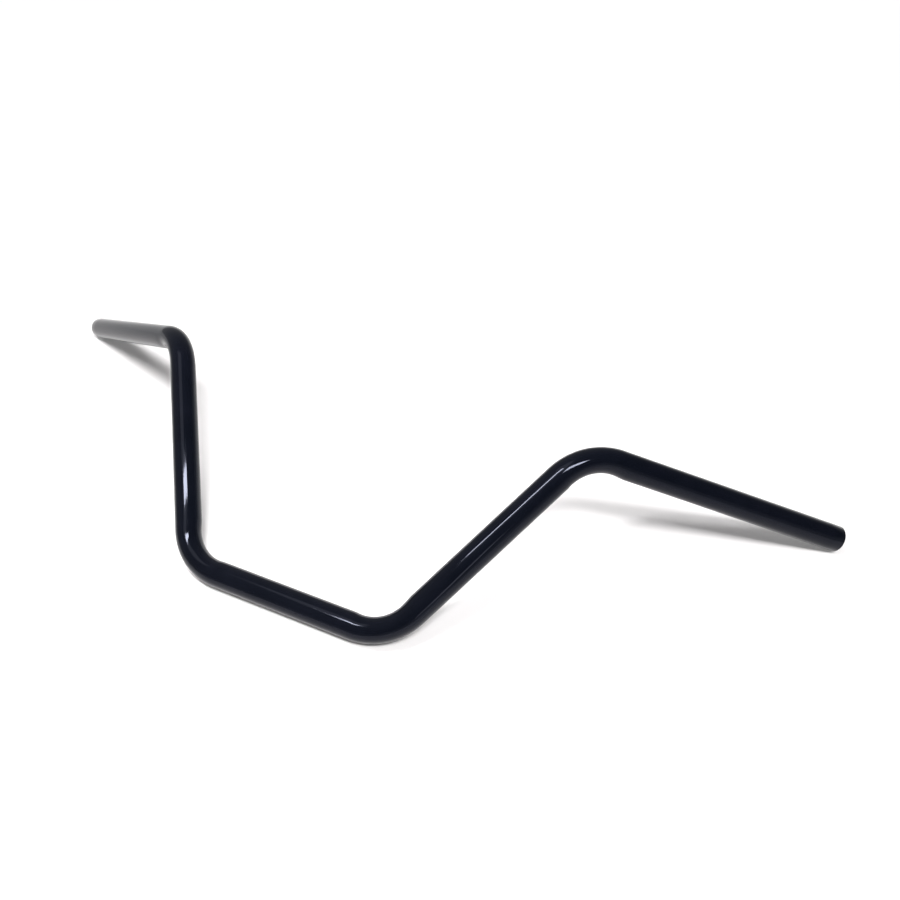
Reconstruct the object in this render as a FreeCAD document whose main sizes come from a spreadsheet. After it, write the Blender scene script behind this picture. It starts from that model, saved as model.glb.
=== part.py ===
"""Handlebar bent from one round steel tube, lying as it comes to rest on a floor.

The right half is laid out as a tube bender sets it: clamp straight, lower bend, riser, turn of the
bending plane, upper bend, grip. The left half is its mirror image. Millimetres and degrees.

Frame: origin in the middle of the clamp straight, on the tube's axis. X runs along the clamp straight,
Y from the clamp straight to the grips, Z up. The bar touches the floor with the clamp straight and with
the rims of its two ends.
"""
import FreeCAD, Part
import math
import os

import Sketcher

NODE = "handlebar_tube"

# Driving dimensions, in the order in which the tube is measured and bent.
DRIVING = {
    "tube_diameter": 22.2,
    "wall": 2.0,
    "bend_radius": 50.0,
    "clamp_straight": 125.5,
    "lower_bend": 61.4,
    "riser_straight": 151.5,
    "plane_turn": 35.4,
    "upper_bend": 61.5,
    "grip_straight": 208.0,
    "flattening": 1.6,
    "flattening_left": 0.65,
    "flattening_to_end": 23.0,
    "flattening_release": 7.0,
    "edge_break": 0.5,
}

# Worked out in the sheet. The rim, which is the last full circle of the grip before its broken edge, and
# the grip's direction are first taken with the lower bend lying flat. The bar then leans about the clamp's
# axis until both rims rest on the floor. A rim's lowest point is less than the tube's radius below the grip's
# axis, by an amount that depends on the lean, and two further rounds settle it.
WORKED_OUT = {
    "outer_radius": "tube_diameter / 2",
    "bore_radius": "outer_radius - wall",
    "easing_angle": "flattening_to_end / bend_radius * 180 / pi",
    "lower_deep_angle": "lower_bend - easing_angle",
    "upper_deep_angle": "upper_bend - easing_angle",
    "riser_round": "riser_straight - flattening_release",
    "grip_round": "grip_straight - flattening_release",
    "grip_to_rim": "grip_straight - edge_break",
    "onward": "riser_straight + bend_radius * sin(upper_bend) + grip_to_rim * cos(upper_bend)",
    "aside": "bend_radius * (1 - cos(upper_bend)) + grip_to_rim * sin(upper_bend)",
    "rim_back": "bend_radius * (1 - cos(lower_bend)) + onward * sin(lower_bend)"
                " - aside * cos(plane_turn) * cos(lower_bend)",
    "rim_down": "aside * sin(plane_turn)",
    "rim_reach": "sqrt(rim_back ^ 2 + rim_down ^ 2)",
    "grip_back": "cos(upper_bend) * sin(lower_bend) - sin(upper_bend) * cos(plane_turn) * cos(lower_bend)",
    "grip_down": "sin(upper_bend) * sin(plane_turn)",
    "lean_level": "atan2(rim_down; rim_back) / 1 deg",
    "drop_level": "grip_down * cos(lean_level) - grip_back * sin(lean_level)",
    "lean_close": "lean_level - asin(outer_radius * (1 - sqrt(1 - drop_level ^ 2)) / rim_reach) / 1 deg",
    "drop_close": "grip_down * cos(lean_close) - grip_back * sin(lean_close)",
    "lean": "lean_level - asin(outer_radius * (1 - sqrt(1 - drop_close ^ 2)) / rim_reach) / 1 deg",
    "deep_half_width": "outer_radius - flattening / 2",
    "deep_bore_half_width": "bore_radius - flattening / 2",
    "deep_centre": "bend_radius + flattening / 2",
    "last_half_width": "outer_radius - flattening_left / 2",
    "last_bore_half_width": "bore_radius - flattening_left / 2",
    "last_centre": "bend_radius + flattening_left / 2",
}


def fill_sheet(doc):
    sheet = doc.addObject("Spreadsheet::Sheet", "Sizes")
    rows = {name: str(value) for name, value in DRIVING.items()}
    rows.update({name: "=" + formula for name, formula in WORKED_OUT.items()})
    for row, (name, content) in enumerate(rows.items(), start=1):
        sheet.set(f"A{row}", name)
        sheet.setAlias(f"B{row}", name)
        sheet.set(f"B{row}", content)
    doc.recompute()
    return sheet


def move(x="0", y="0", z="0", yaw="0", pitch="0", roll="0"):
    return f"placement(vector({x}; {y}; {z}); rotation({yaw}; {pitch}; {roll}))"


def along_arc(angle):
    """The step along a bend: X follows the tube's axis and Y points at the middle of the bend."""
    x = f"Sizes.bend_radius * sin({angle})"
    y = f"Sizes.bend_radius * (1 - cos({angle}))"
    return move(x, y, yaw=angle)


def origin_plane(body, role):
    return next(feature for feature in body.Origin.OriginFeatures if feature.Role == role)


def add_frame(body, name, place):
    frame = body.newObject("PartDesign::CoordinateSystem", name)
    frame.AttachmentSupport = [(origin_plane(body, "XY_Plane"), "")]
    frame.MapMode = "FlatFace"
    frame.setExpression("AttachmentOffset", place)
    return frame


def add_sketch(body, name, place):
    sketch = body.newObject("Sketcher::SketchObject", name)
    sketch.AttachmentSupport = [(origin_plane(body, "XY_Plane"), "")]
    sketch.MapMode = "FlatFace"
    sketch.setExpression("AttachmentOffset", place)
    return sketch


def bind(sketch, constraint, name, formula):
    index = sketch.addConstraint(constraint)
    sketch.renameConstraint(index, name)
    sketch.setExpression(f"Constraints.{name}", formula)


def add_section(body, name, frame, station, past="0"):
    """An empty sketch square to the tube, at an angle into a bend and a length past that.

    Its X runs from the bend's middle to the tube's axis, which is a bend radius away, and its Y along the
    bend's axis.
    """
    to_middle = move(past, "Sizes.bend_radius", yaw="-90", roll="90")
    return add_sketch(body, name, f"{frame.Name}.Placement * {along_arc(station)} * {to_middle}")


def round_section(body, name, frame, station, sheet, past="0"):
    """The tube as it was drawn: two circles about its axis."""
    sketch = add_section(body, name, frame, station, past)
    centre = FreeCAD.Vector(sheet.bend_radius, 0, 0)
    normal = FreeCAD.Vector(0, 0, 1)
    for wall_name in ("outer_radius", "bore_radius"):
        radius = sheet.get(wall_name)
        circle = sketch.addGeometry(Part.Circle(centre, normal, radius))
        sketch.addConstraint(Sketcher.Constraint("PointOnObject", circle, 3, -1))
        bind(sketch, Sketcher.Constraint("DistanceX", -1, 1, circle, 3, centre.x),
             f"{wall_name}_centre", "Sizes.bend_radius")
        bind(sketch, Sketcher.Constraint("Radius", circle, radius), wall_name, f"Sizes.{wall_name}")
    return sketch


def oval_section(body, name, frame, station, sheet, stage):
    """The tube inside a bend: pressed in on the inner side, as high as before along the bend's axis."""
    sketch = add_section(body, name, frame, station)
    centre = FreeCAD.Vector(sheet.get(f"{stage}_centre"), 0, 0)
    walls = {"outer_radius": f"{stage}_half_width", "bore_radius": f"{stage}_bore_half_width"}
    for high, wide in walls.items():
        half_height = sheet.get(high)
        half_width = sheet.get(wide)
        top = centre + FreeCAD.Vector(0, half_height, 0)
        side = centre - FreeCAD.Vector(half_width, 0, 0)
        oval = sketch.addGeometry(Part.Ellipse(top, side, centre))
        sketch.exposeInternalGeometry(oval)
        height_line = oval + 1
        width_line = oval + 2
        sketch.addConstraint(Sketcher.Constraint("Vertical", height_line))
        sketch.addConstraint(Sketcher.Constraint("PointOnObject", oval, 3, -1))
        bind(sketch, Sketcher.Constraint("DistanceX", -1, 1, oval, 3, centre.x),
             f"{wide}_centre", f"Sizes.{stage}_centre")
        bind(sketch, Sketcher.Constraint("Distance", height_line, 2 * half_height),
             f"{wide}_height", f"2 * Sizes.{high}")
        bind(sketch, Sketcher.Constraint("Distance", width_line, 2 * half_width),
             f"{wide}_width", f"2 * Sizes.{wide}")
    return sketch


def bend_path(body, name, frame, span_name, sheet):
    """The tube's axis around a bend."""
    sketch = add_sketch(body, name, f"{frame.Name}.Placement")
    middle = FreeCAD.Vector(0, sheet.bend_radius, 0)
    circle = Part.Circle(middle, FreeCAD.Vector(0, 0, 1), sheet.bend_radius)
    first = -math.pi / 2
    span = math.radians(sheet.get(span_name))
    arc = sketch.addGeometry(Part.ArcOfCircle(circle, first, first + span))
    sketch.addConstraint(Sketcher.Constraint("Coincident", arc, 1, -1, 1))
    sketch.addConstraint(Sketcher.Constraint("PointOnObject", arc, 3, -2))
    bind(sketch, Sketcher.Constraint("Radius", arc, sheet.bend_radius), "radius", "Sizes.bend_radius")
    bind(sketch, Sketcher.Constraint("Angle", arc, span), "span", f"Sizes.{span_name} * 1 deg")
    return sketch


def add_straight(body, name, section, length, onward):
    straight = body.newObject("PartDesign::Pad", name)
    straight.Profile = section
    straight.Reversed = onward
    straight.setExpression("Length", length)
    return straight


def add_bend(body, side, frame, start, sheet):
    """One bend and its run-out. Returns the round section at which the straight tube goes on.

    The inner side is pressed in more and more to somewhat past the middle of the bend, and then less. At the
    end of the bend the die let go, and what is left of the flattening springs out in a short step.
    """
    turn = f"{side}_bend"
    end = f"Sizes.{turn}"
    deep = oval_section(body, f"{side}_deep", frame, f"Sizes.{side}_deep_angle", sheet, "deep")
    last = oval_section(body, f"{side}_last", frame, end, sheet, "last")
    run_out = round_section(body, f"{side}_run_out", frame, end, sheet, past="Sizes.flattening_release")

    bend = body.newObject("PartDesign::AdditivePipe", f"{side}_turn")
    bend.Profile = start
    bend.Spine = (bend_path(body, f"{side}_path", frame, turn, sheet), ["Edge1"])
    bend.Transformation = "Multisection"
    bend.Sections = [deep, last]

    release = body.newObject("PartDesign::AdditiveLoft", f"{side}_release")
    release.Profile = last
    release.Sections = [run_out]
    return run_out


def rim_edges(shape, tip):
    """The names of the two circles, outside and in the bore, around the tip of the grip."""
    names = []
    for number, edge in enumerate(shape.Edges, start=1):
        if isinstance(edge.Curve, Part.Circle) and edge.Curve.Center.isEqual(tip, 1e-3):
            names.append(f"Edge{number}")
    return names


def build_bar(doc, sheet):
    body = doc.addObject("PartDesign::Body", "Bar")
    body.Label = NODE

    lower = add_frame(body, "LowerBendStart", move("Sizes.clamp_straight / 2", roll="Sizes.lean"))
    up_riser = move("Sizes.riser_straight", roll="180 + Sizes.plane_turn")
    to_upper = f"{along_arc('Sizes.lower_bend')} * {up_riser}"
    upper = add_frame(body, "UpperBendStart", f"LowerBendStart.Placement * {to_upper}")
    to_tip = f"{along_arc('Sizes.upper_bend')} * {move('Sizes.grip_straight')}"
    tip = add_frame(body, "Tip", f"UpperBendStart.Placement * {to_tip}")

    clamp_end = round_section(body, "clamp_end", lower, "0", sheet)
    add_straight(body, "clamp", clamp_end, "Sizes.clamp_straight / 2", onward=False)
    riser_start = add_bend(body, "lower", lower, clamp_end, sheet)
    add_straight(body, "riser", riser_start, "Sizes.riser_round", onward=True)
    riser_end = round_section(body, "riser_end", upper, "0", sheet)
    grip_start = add_bend(body, "upper", upper, riser_end, sheet)
    grip = add_straight(body, "grip", grip_start, "Sizes.grip_round", onward=True)
    doc.recompute()

    broken_rim = body.newObject("PartDesign::Chamfer", "broken_rim")
    broken_rim.Base = (grip, rim_edges(grip.Shape, tip.Placement.Base))
    broken_rim.setExpression("Size", "Sizes.edge_break")
    doc.recompute()

    whole = body.newObject("PartDesign::Mirrored", "whole")
    whole.TransformMode = "Whole shape"
    whole.MirrorPlane = (origin_plane(body, "YZ_Plane"), [""])
    body.Tip = whole
    doc.recompute()
    return body


def check(doc, body):
    for item in doc.Objects:
        if "Invalid" in item.State or "Error" in item.State:
            raise RuntimeError(f"{item.Name} failed: {item.State}")
    if body.Shape.isNull() or not body.Shape.isValid() or len(body.Shape.Solids) != 1:
        raise RuntimeError("the bar is not one valid solid")


def main():
    doc = FreeCAD.newDocument("Handlebar")
    sheet = fill_sheet(doc)
    body = build_bar(doc, sheet)
    check(doc, body)
    os.makedirs("parts", exist_ok=True)
    body.Shape.exportStep(f"parts/{body.Label}.step")
    box = body.Shape.optimalBoundingBox()
    print(f"{body.Label}: {box.XLength:.1f} x {box.YLength:.1f} x {box.ZLength:.1f} mm,"
          f" floor at {box.ZMin:.3f}, {body.Shape.Volume:.0f} mm3, lean {sheet.lean:.2f} deg")


main()
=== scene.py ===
"""Gloss black tracker handlebar, bent from one round steel tube, lying on a pale floor.

Metres and radians.
"""

from math import pi, radians

import bmesh
import bpy
from mathutils import Matrix, Vector


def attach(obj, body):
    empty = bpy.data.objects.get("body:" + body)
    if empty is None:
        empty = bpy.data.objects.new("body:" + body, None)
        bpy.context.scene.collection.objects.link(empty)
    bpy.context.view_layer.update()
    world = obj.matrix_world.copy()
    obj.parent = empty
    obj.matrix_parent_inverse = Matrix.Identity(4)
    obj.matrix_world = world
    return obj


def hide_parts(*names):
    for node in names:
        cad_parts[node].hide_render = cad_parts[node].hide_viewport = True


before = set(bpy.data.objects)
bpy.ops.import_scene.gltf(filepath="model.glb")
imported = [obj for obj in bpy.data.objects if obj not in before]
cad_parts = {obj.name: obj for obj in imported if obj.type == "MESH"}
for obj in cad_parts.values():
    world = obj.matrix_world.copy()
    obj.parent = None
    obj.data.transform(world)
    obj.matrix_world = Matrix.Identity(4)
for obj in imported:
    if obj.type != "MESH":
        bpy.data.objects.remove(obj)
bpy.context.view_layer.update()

# The bending table, as the tube is measured and bent.
TUBE_RADIUS = 0.0111
BORE_RADIUS = 0.0091
BEND_RADIUS = 0.050
CLAMP_STRAIGHT = 0.1255
LOWER_BEND = radians(61.4)
RISER_STRAIGHT = 0.1515
PLANE_TURN = radians(35.4)
UPPER_BEND = radians(61.5)
GRIP_STRAIGHT = 0.208
FLATTENING = 0.0016
FLATTENING_LEFT = 0.00065
FLATTENING_TO_END = 0.023
FLATTENING_RELEASE = 0.007
EDGE_BREAK = 0.0005
LEAN = radians(30.4975)

# How finely the skins are drawn.
SIDES = 112
CLAMP_STEPS = 6
RISER_STEPS = 12
GRIP_STEPS = 16
BEND_STEPS = 40
RELEASE_STEPS = 8
RIM_SEGMENTS = 4

# An edge sharper than the first is a rim to be broken, one sharper than the second is shaded as a crease.
RIM_ANGLE = radians(60)
CREASE_ANGLE = radians(40)
WELD_DISTANCE = 1e-5
MIRROR_DISTANCE = 1e-6

# Black paint.
COAT_DARK = (0.0026, 0.0034, 0.0062, 1)
COAT_LIGHT = (0.0038, 0.0046, 0.0082, 1)
COAT_MIRROR_TINT = (0.76, 0.80, 1.0, 1)
COAT_IOR = 1.26
COAT_GLOSSIEST = 0.05
COAT_DULLEST = 0.09
FLOW_SCALE = 55.0
PEEL_SCALE = 420.0
PEEL_DEPTH = 0.00004

# Bare drawn steel in the bore, with paint blown in from the mouth.
STEEL_DARK = (0.20, 0.19, 0.18, 1)
STEEL_LIGHT = (0.36, 0.35, 0.34, 1)
BLOWN_IN_COAT = (0.0032, 0.0040, 0.0072, 1)
DRAWN_LINE_SCALE = (14.0, 900.0, 900.0)
DRAWN_LINE_DEPTH = 0.00005
DRAWN_LINE_DULLNESS = 0.12
BLOWN_IN_SCALE = 140.0
BLOWN_IN_RAGGED = 0.03
BLOWN_IN_FADE = 0.016
BLOWN_IN_ROUGHNESS = 0.12
STEEL_ROUGHNESS = 0.42

# The floor: paper around the bar, and further out a white glow in its place. Further out the paper's colour
# darkens as painted shade for its light falling off there.
FLOOR_HEIGHT = -TUBE_RADIUS
FLOOR_MIDDLE = (0.0, 0.12, FLOOR_HEIGHT)
FLOOR_RADIUS = 20.0
FLOOR_SIDES = 128
PAPER = (0.9, 0.88, 0.88, 1)
PAPER_FAR_PAINTED_SHADE = (0.06, 0.06, 0.06, 1)
PAPER_ROUGHNESS = 0.9
PAPER_ENDS = (0.35, 0.9)
GLOW_LEVELS = (0.05, 0.97)
WHITE = (1, 1, 1, 1)

# Soft boxes and strips. The top strip is narrow and near, and gives only its highlights.
LAMPS = {
    "key_box": {"place": (1.25, -0.87, 3.2), "aim": FLOOR_MIDDLE, "width": 1.3, "height": 0.6,
                "radiance": 49.0, "turn": radians(-40)},
    "left_box": {"place": (-0.75, -0.2, 3.2), "aim": FLOOR_MIDDLE, "width": 2.0, "height": 1.4,
                 "radiance": 1.4},
    "top_strip": {"place": (-0.09, -0.05, 0.72), "aim": (-0.09, -0.05, 0.0), "width": 0.35, "height": 0.055,
                  "radiance": 66.0, "turn": radians(35), "diffuse": 0.0},
    "side_strip": {"place": (1.0, -0.9, 0.52), "aim": (0.14, 0.08, 0.04), "width": 0.10, "height": 0.5,
                   "radiance": 3.6},
}

# The studio around: brighter to the left, with an even pale band along the horizon.
BRIGHT_SIDE = (-0.90, 0.28, 0.0)
BRIGHT_RANGE = (-0.7, 0.9)
BRIGHT_LEVELS = (0.05, 0.42)
BAND_HEIGHTS = (0.12, 0.40)
BAND_LEVEL = 0.45

CAMERA_PLACE = (0.284780, -0.278549, 0.530482)
CAMERA_HEADING = 0.443586
CAMERA_DOWN = 0.778249
CAMERA_ROLL = -0.034125
CAMERA_LENS = 31.798
CAMERA_SENSOR = 36.0


def first_ring(bm, place, radius):
    across = Matrix.Rotation(radians(90), 4, "Y")
    made = bmesh.ops.create_circle(bm, cap_ends=False, segments=SIDES, radius=radius, matrix=place @ across)
    return list(dict.fromkeys(edge for vert in made["verts"] for edge in vert.link_edges))


def ring_verts(ring):
    return list(dict.fromkeys(vert for edge in ring for vert in edge.verts))


def grow(bm, ring):
    """One more ring of the tube's skin, still on top of the last one."""
    grown = bmesh.ops.extrude_edge_only(bm, edges=ring)["geom"]
    fresh = {item for item in grown if isinstance(item, bmesh.types.BMVert)}
    edges = [item for item in grown if isinstance(item, bmesh.types.BMEdge)]
    return [edge for edge in edges if edge.verts[0] in fresh and edge.verts[1] in fresh]


def press(bm, verts, place, radius, before, after):
    """Presses the tube's inner side further in, or lets it out: before and after are depths."""
    squeeze = (2 * radius - after) / (2 * radius - before)
    outer_side = place @ Matrix.Translation((0, -radius, 0))
    bmesh.ops.scale(bm, verts=verts, vec=(1, squeeze, 1), space=outer_side.inverted())


def go_straight(bm, ring, place, radius, length, steps, left=0.0):
    """A straight run. What is left of a bend's flattening springs out along it."""
    step = Matrix.Translation((length / steps, 0, 0))
    for number in range(steps):
        ring = grow(bm, ring)
        verts = ring_verts(ring)
        onward = place @ step
        bmesh.ops.translate(bm, verts=verts, vec=onward.translation - place.translation)
        place = onward
        before = left * (1 - number / steps)
        press(bm, verts, place, radius, before, before - left / steps)
    return ring, place


def depth_in_bend(way, length):
    """How far the inner side is pressed in: deepest somewhat past the middle, partly eased at the end."""
    deepest = length - FLATTENING_TO_END
    rise = way * (length - way) / (deepest * FLATTENING_TO_END)
    tail = way * (way - deepest) / (length * FLATTENING_TO_END)
    return FLATTENING * rise + FLATTENING_LEFT * tail


def go_bend(bm, ring, place, radius, angle):
    """A bend towards Y, and the short run along which the flattening left at its end springs out."""
    length = angle * BEND_RADIUS
    before = 0.0
    for number in range(1, BEND_STEPS + 1):
        ring = grow(bm, ring)
        verts = ring_verts(ring)
        middle = place @ Vector((0, BEND_RADIUS, 0))
        swing = Matrix.Rotation(angle / BEND_STEPS, 4, place.col[2].to_3d())
        bmesh.ops.rotate(bm, verts=verts, cent=middle, matrix=swing.to_3x3())
        place = Matrix.Translation(middle) @ swing @ Matrix.Translation(-middle) @ place
        after = depth_in_bend(length * number / BEND_STEPS, length)
        press(bm, verts, place, radius, before, after)
        before = after
    return go_straight(bm, ring, place, radius, FLATTENING_RELEASE, RELEASE_STEPS, FLATTENING_LEFT)


def skin(bm, radius):
    """Half the tube's skin, from the middle of the clamp straight. Returns the ring at the tip and its place."""
    place = Matrix.Rotation(LEAN, 4, "X")
    ring = first_ring(bm, place, radius)
    ring, place = go_straight(bm, ring, place, radius, CLAMP_STRAIGHT / 2, CLAMP_STEPS)
    ring, place = go_bend(bm, ring, place, radius, LOWER_BEND)
    ring, place = go_straight(bm, ring, place, radius, RISER_STRAIGHT - FLATTENING_RELEASE, RISER_STEPS)
    place = place @ Matrix.Rotation(radians(180) + PLANE_TURN, 4, "X")
    ring, place = go_bend(bm, ring, place, radius, UPPER_BEND)
    return go_straight(bm, ring, place, radius, GRIP_STRAIGHT - FLATTENING_RELEASE, GRIP_STEPS)


def build_tube():
    """The whole tube, and the place of its right tip. The coated skin turns in at the tip to meet the bore."""
    bm = bmesh.new()
    ring, tip = skin(bm, TUBE_RADIUS)
    rim = ring_verts(grow(bm, ring))
    to_bore = BORE_RADIUS / TUBE_RADIUS
    bmesh.ops.scale(bm, verts=rim, vec=(1, to_bore, to_bore), space=tip.inverted())
    coated = set(bm.faces)
    ring, tip = skin(bm, BORE_RADIUS)
    for face in bm.faces:
        face.material_index = 0 if face in coated else 1
    bmesh.ops.remove_doubles(bm, verts=rim + ring_verts(ring), dist=WELD_DISTANCE)
    bmesh.ops.recalc_face_normals(bm, faces=bm.faces)
    sharp = [edge for edge in bm.edges if edge.calc_face_angle(0.0) > RIM_ANGLE]
    bmesh.ops.bevel(bm, geom=sharp, offset=EDGE_BREAK, offset_type="OFFSET", affect="EDGES",
                    segments=RIM_SEGMENTS, profile=0.5, material=-1)
    half = bm.verts[:] + bm.edges[:] + bm.faces[:]
    bmesh.ops.mirror(bm, geom=half, matrix=Matrix.Identity(4), merge_dist=MIRROR_DISTANCE, axis="X")
    bmesh.ops.recalc_face_normals(bm, faces=bm.faces)
    for face in bm.faces:
        face.smooth = True
    tube = add_object("handlebar", bm)
    tube.data.set_sharp_from_angle(angle=CREASE_ANGLE)
    return tube, tip


def add_object(name, bm):
    mesh = bpy.data.meshes.new(name)
    bm.to_mesh(mesh)
    bm.free()
    made = bpy.data.objects.new(name, mesh)
    bpy.context.scene.collection.objects.link(made)
    return made


def new_material(name):
    material = bpy.data.materials.new(name)
    material.use_nodes = True
    tree = material.node_tree
    return material, tree, tree.nodes["Principled BSDF"]


def node(tree, kind, inputs=None, **settings):
    made = tree.nodes.new(kind)
    for name, value in settings.items():
        setattr(made, name, value)
    for name, value in (inputs or {}).items():
        if isinstance(value, bpy.types.NodeSocket):
            tree.links.new(value, made.inputs[name])
        else:
            made.inputs[name].default_value = value
    return made


def calculate(tree, operation, *values):
    return node(tree, "ShaderNodeMath", dict(enumerate(values)), operation=operation).outputs[0]


def map_range(tree, value, source, target, interpolation="LINEAR"):
    ends = {"From Min": source[0], "From Max": source[1], "To Min": target[0], "To Max": target[1]}
    made = node(tree, "ShaderNodeMapRange", {"Value": value, **ends}, interpolation_type=interpolation)
    return made.outputs["Result"]


def spread(tree, pattern, low, high):
    """Maps a pattern's 0.3 to 0.7, where most of it lies, to low and high."""
    return map_range(tree, pattern, (0.3, 0.7), (low, high))


def noise(tree, place, scale, detail, roughness=0.5):
    inputs = {"Vector": place, "Scale": scale, "Detail": detail, "Roughness": roughness}
    return node(tree, "ShaderNodeTexNoise", inputs).outputs["Fac"]


def mix(tree, factor, first, second):
    return node(tree, "ShaderNodeMix", {"Factor": factor, "A": first, "B": second},
                data_type="RGBA").outputs["Result"]


def bump(tree, height, strength, depth):
    inputs = {"Height": height, "Strength": strength, "Distance": depth}
    return node(tree, "ShaderNodeBump", inputs).outputs["Normal"]


def gloss_black_coat():
    """Slow flow marks change the paint's shade and gloss a little, and fine peel waves its surface."""
    material, tree, shader = new_material("gloss_black_coat")
    place = node(tree, "ShaderNodeTexCoord").outputs["Object"]
    flow = noise(tree, place, FLOW_SCALE, 3.0)
    peel = noise(tree, place, PEEL_SCALE, 2.0, 0.45)
    pigment = mix(tree, spread(tree, flow, 0.0, 1.0), COAT_DARK, COAT_LIGHT)
    tree.links.new(pigment, shader.inputs["Base Color"])
    tree.links.new(spread(tree, flow, COAT_GLOSSIEST, COAT_DULLEST), shader.inputs["Roughness"])
    tree.links.new(bump(tree, peel, 0.25, PEEL_DEPTH), shader.inputs["Normal"])
    shader.inputs["IOR"].default_value = COAT_IOR
    shader.inputs["Specular Tint"].default_value = COAT_MIRROR_TINT
    return material


def bore_steel(tip):
    """Bare drawn steel with the black coat blown a little way in from the mouth.

    The left half is folded on to the right one, so that one tip's place serves both ends.
    """
    material, tree, shader = new_material("bore_steel")
    place = node(tree, "ShaderNodeTexCoord").outputs["Object"]
    plain = node(tree, "ShaderNodeSeparateXYZ", {"Vector": place}).outputs
    across = calculate(tree, "ABSOLUTE", plain["X"])
    folded = node(tree, "ShaderNodeCombineXYZ", {"X": across, "Y": plain["Y"], "Z": plain["Z"]})
    inside = node(tree, "ShaderNodeMapping", {"Vector": folded.outputs["Vector"], "Location": tip.translation,
                                              "Rotation": tip.to_euler()}, vector_type="TEXTURE").outputs["Vector"]

    drawn = node(tree, "ShaderNodeVectorMath", {0: inside, 1: DRAWN_LINE_SCALE}, operation="MULTIPLY")
    lines = noise(tree, drawn.outputs["Vector"], 1.0, 3.0)
    steel = mix(tree, spread(tree, lines, 0.0, 1.0), STEEL_DARK, STEEL_LIGHT)

    cloud = noise(tree, inside, BLOWN_IN_SCALE, 4.0)
    depth = node(tree, "ShaderNodeSeparateXYZ", {"Vector": inside}).outputs["X"]
    ragged = calculate(tree, "MULTIPLY_ADD", cloud, BLOWN_IN_RAGGED, depth)
    bare = map_range(tree, ragged, (0.0, -BLOWN_IN_FADE), (0.0, 1.0), "SMOOTHSTEP")

    tree.links.new(mix(tree, bare, BLOWN_IN_COAT, steel), shader.inputs["Base Color"])
    tree.links.new(bare, shader.inputs["Metallic"])
    dull = map_range(tree, bare, (0.0, 1.0), (BLOWN_IN_ROUGHNESS, STEEL_ROUGHNESS))
    rough = calculate(tree, "MULTIPLY_ADD", lines, DRAWN_LINE_DULLNESS, dull)
    tree.links.new(rough, shader.inputs["Roughness"])
    tree.links.new(bump(tree, lines, 0.3, DRAWN_LINE_DEPTH), shader.inputs["Normal"])
    return material


def build_floor():
    """A pale floor that stays white to the eye, while its paper darkens away from the bar as painted shade for its
    light falling off.
    """
    bm = bmesh.new()
    bmesh.ops.create_circle(bm, cap_ends=True, segments=FLOOR_SIDES, radius=FLOOR_RADIUS,
                            matrix=Matrix.Translation((0, 0, FLOOR_HEIGHT)))
    floor = add_object("floor", bm)

    material, tree, shader = new_material("pale_floor")
    place = node(tree, "ShaderNodeTexCoord").outputs["Object"]
    reach = node(tree, "ShaderNodeVectorMath", {0: place, 1: FLOOR_MIDDLE}, operation="DISTANCE")
    away = map_range(tree, reach.outputs["Value"], PAPER_ENDS, (0.0, 1.0))
    # Painted shade: the paper's colour darkens away from the bar, standing in for its light falling off.
    tree.links.new(mix(tree, away, PAPER, PAPER_FAR_PAINTED_SHADE), shader.inputs["Base Color"])
    shader.inputs["Roughness"].default_value = PAPER_ROUGHNESS
    shader.inputs["Specular IOR Level"].default_value = 0.0

    path = node(tree, "ShaderNodeLightPath").outputs
    mirrored = calculate(tree, "ADD", path["Is Glossy Ray"], path["Is Transmission Ray"])
    shown = calculate(tree, "ADD", mirrored, path["Is Camera Ray"])
    glow = calculate(tree, "MULTIPLY", map_range(tree, away, (0.0, 1.0), GLOW_LEVELS), shown)
    tree.links.new(glow, shader.inputs["Emission Strength"])
    shader.inputs["Emission Color"].default_value = WHITE
    floor.data.materials.append(material)


def add_lamp(name, place, aim, width, height, radiance, turn=0.0, diffuse=1.0):
    """A soft box, as bright per unit of its face as radiance says."""
    lamp = bpy.data.lights.new(name, "AREA")
    lamp.shape = "RECTANGLE"
    lamp.size = width
    lamp.size_y = height
    lamp.energy = radiance * pi * width * height
    lamp.diffuse_factor = diffuse
    holder = bpy.data.objects.new(name, lamp)
    bpy.context.scene.collection.objects.link(holder)
    look = (Vector(aim) - Vector(place)).to_track_quat("-Z", "Y").to_matrix().to_4x4()
    holder.matrix_world = Matrix.Translation(place) @ look @ Matrix.Rotation(turn, 4, "Z")


def light_scene():
    for name, lamp in LAMPS.items():
        add_lamp(name, **lamp)

    world = bpy.data.worlds.new("studio")
    bpy.context.scene.world = world
    world.use_nodes = True
    tree = world.node_tree
    direction = node(tree, "ShaderNodeTexCoord").outputs["Generated"]
    leftward = node(tree, "ShaderNodeVectorMath", {0: direction, 1: BRIGHT_SIDE}, operation="DOT_PRODUCT")
    level = map_range(tree, leftward.outputs["Value"], BRIGHT_RANGE, BRIGHT_LEVELS, "SMOOTHSTEP")
    height = node(tree, "ShaderNodeSeparateXYZ", {"Vector": direction}).outputs["Z"]
    band = map_range(tree, height, BAND_HEIGHTS, (BAND_LEVEL, 0.0), "SMOOTHSTEP")
    background = tree.nodes["Background"]
    tree.links.new(calculate(tree, "MAXIMUM", level, band), background.inputs["Strength"])
    background.inputs["Color"].default_value = WHITE


def place_camera():
    camera = bpy.data.cameras.new("camera")
    camera.sensor_width = CAMERA_SENSOR
    camera.lens = CAMERA_LENS
    holder = bpy.data.objects.new("camera", camera)
    bpy.context.scene.collection.objects.link(holder)
    heading = Matrix.Rotation(CAMERA_HEADING, 4, "Z")
    tilt = Matrix.Rotation(radians(90) - CAMERA_DOWN, 4, "X")
    roll = Matrix.Rotation(CAMERA_ROLL, 4, "Z")
    holder.matrix_world = Matrix.Translation(CAMERA_PLACE) @ heading @ tilt @ roll
    bpy.context.scene.camera = holder


tube, tip = build_tube()
tube.data.materials.append(gloss_black_coat())
tube.data.materials.append(bore_steel(tip))
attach(tube, "root")
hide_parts("handlebar_tube")

build_floor()
light_scene()
place_camera()
bpy.context.scene.view_settings.view_transform = "Standard"
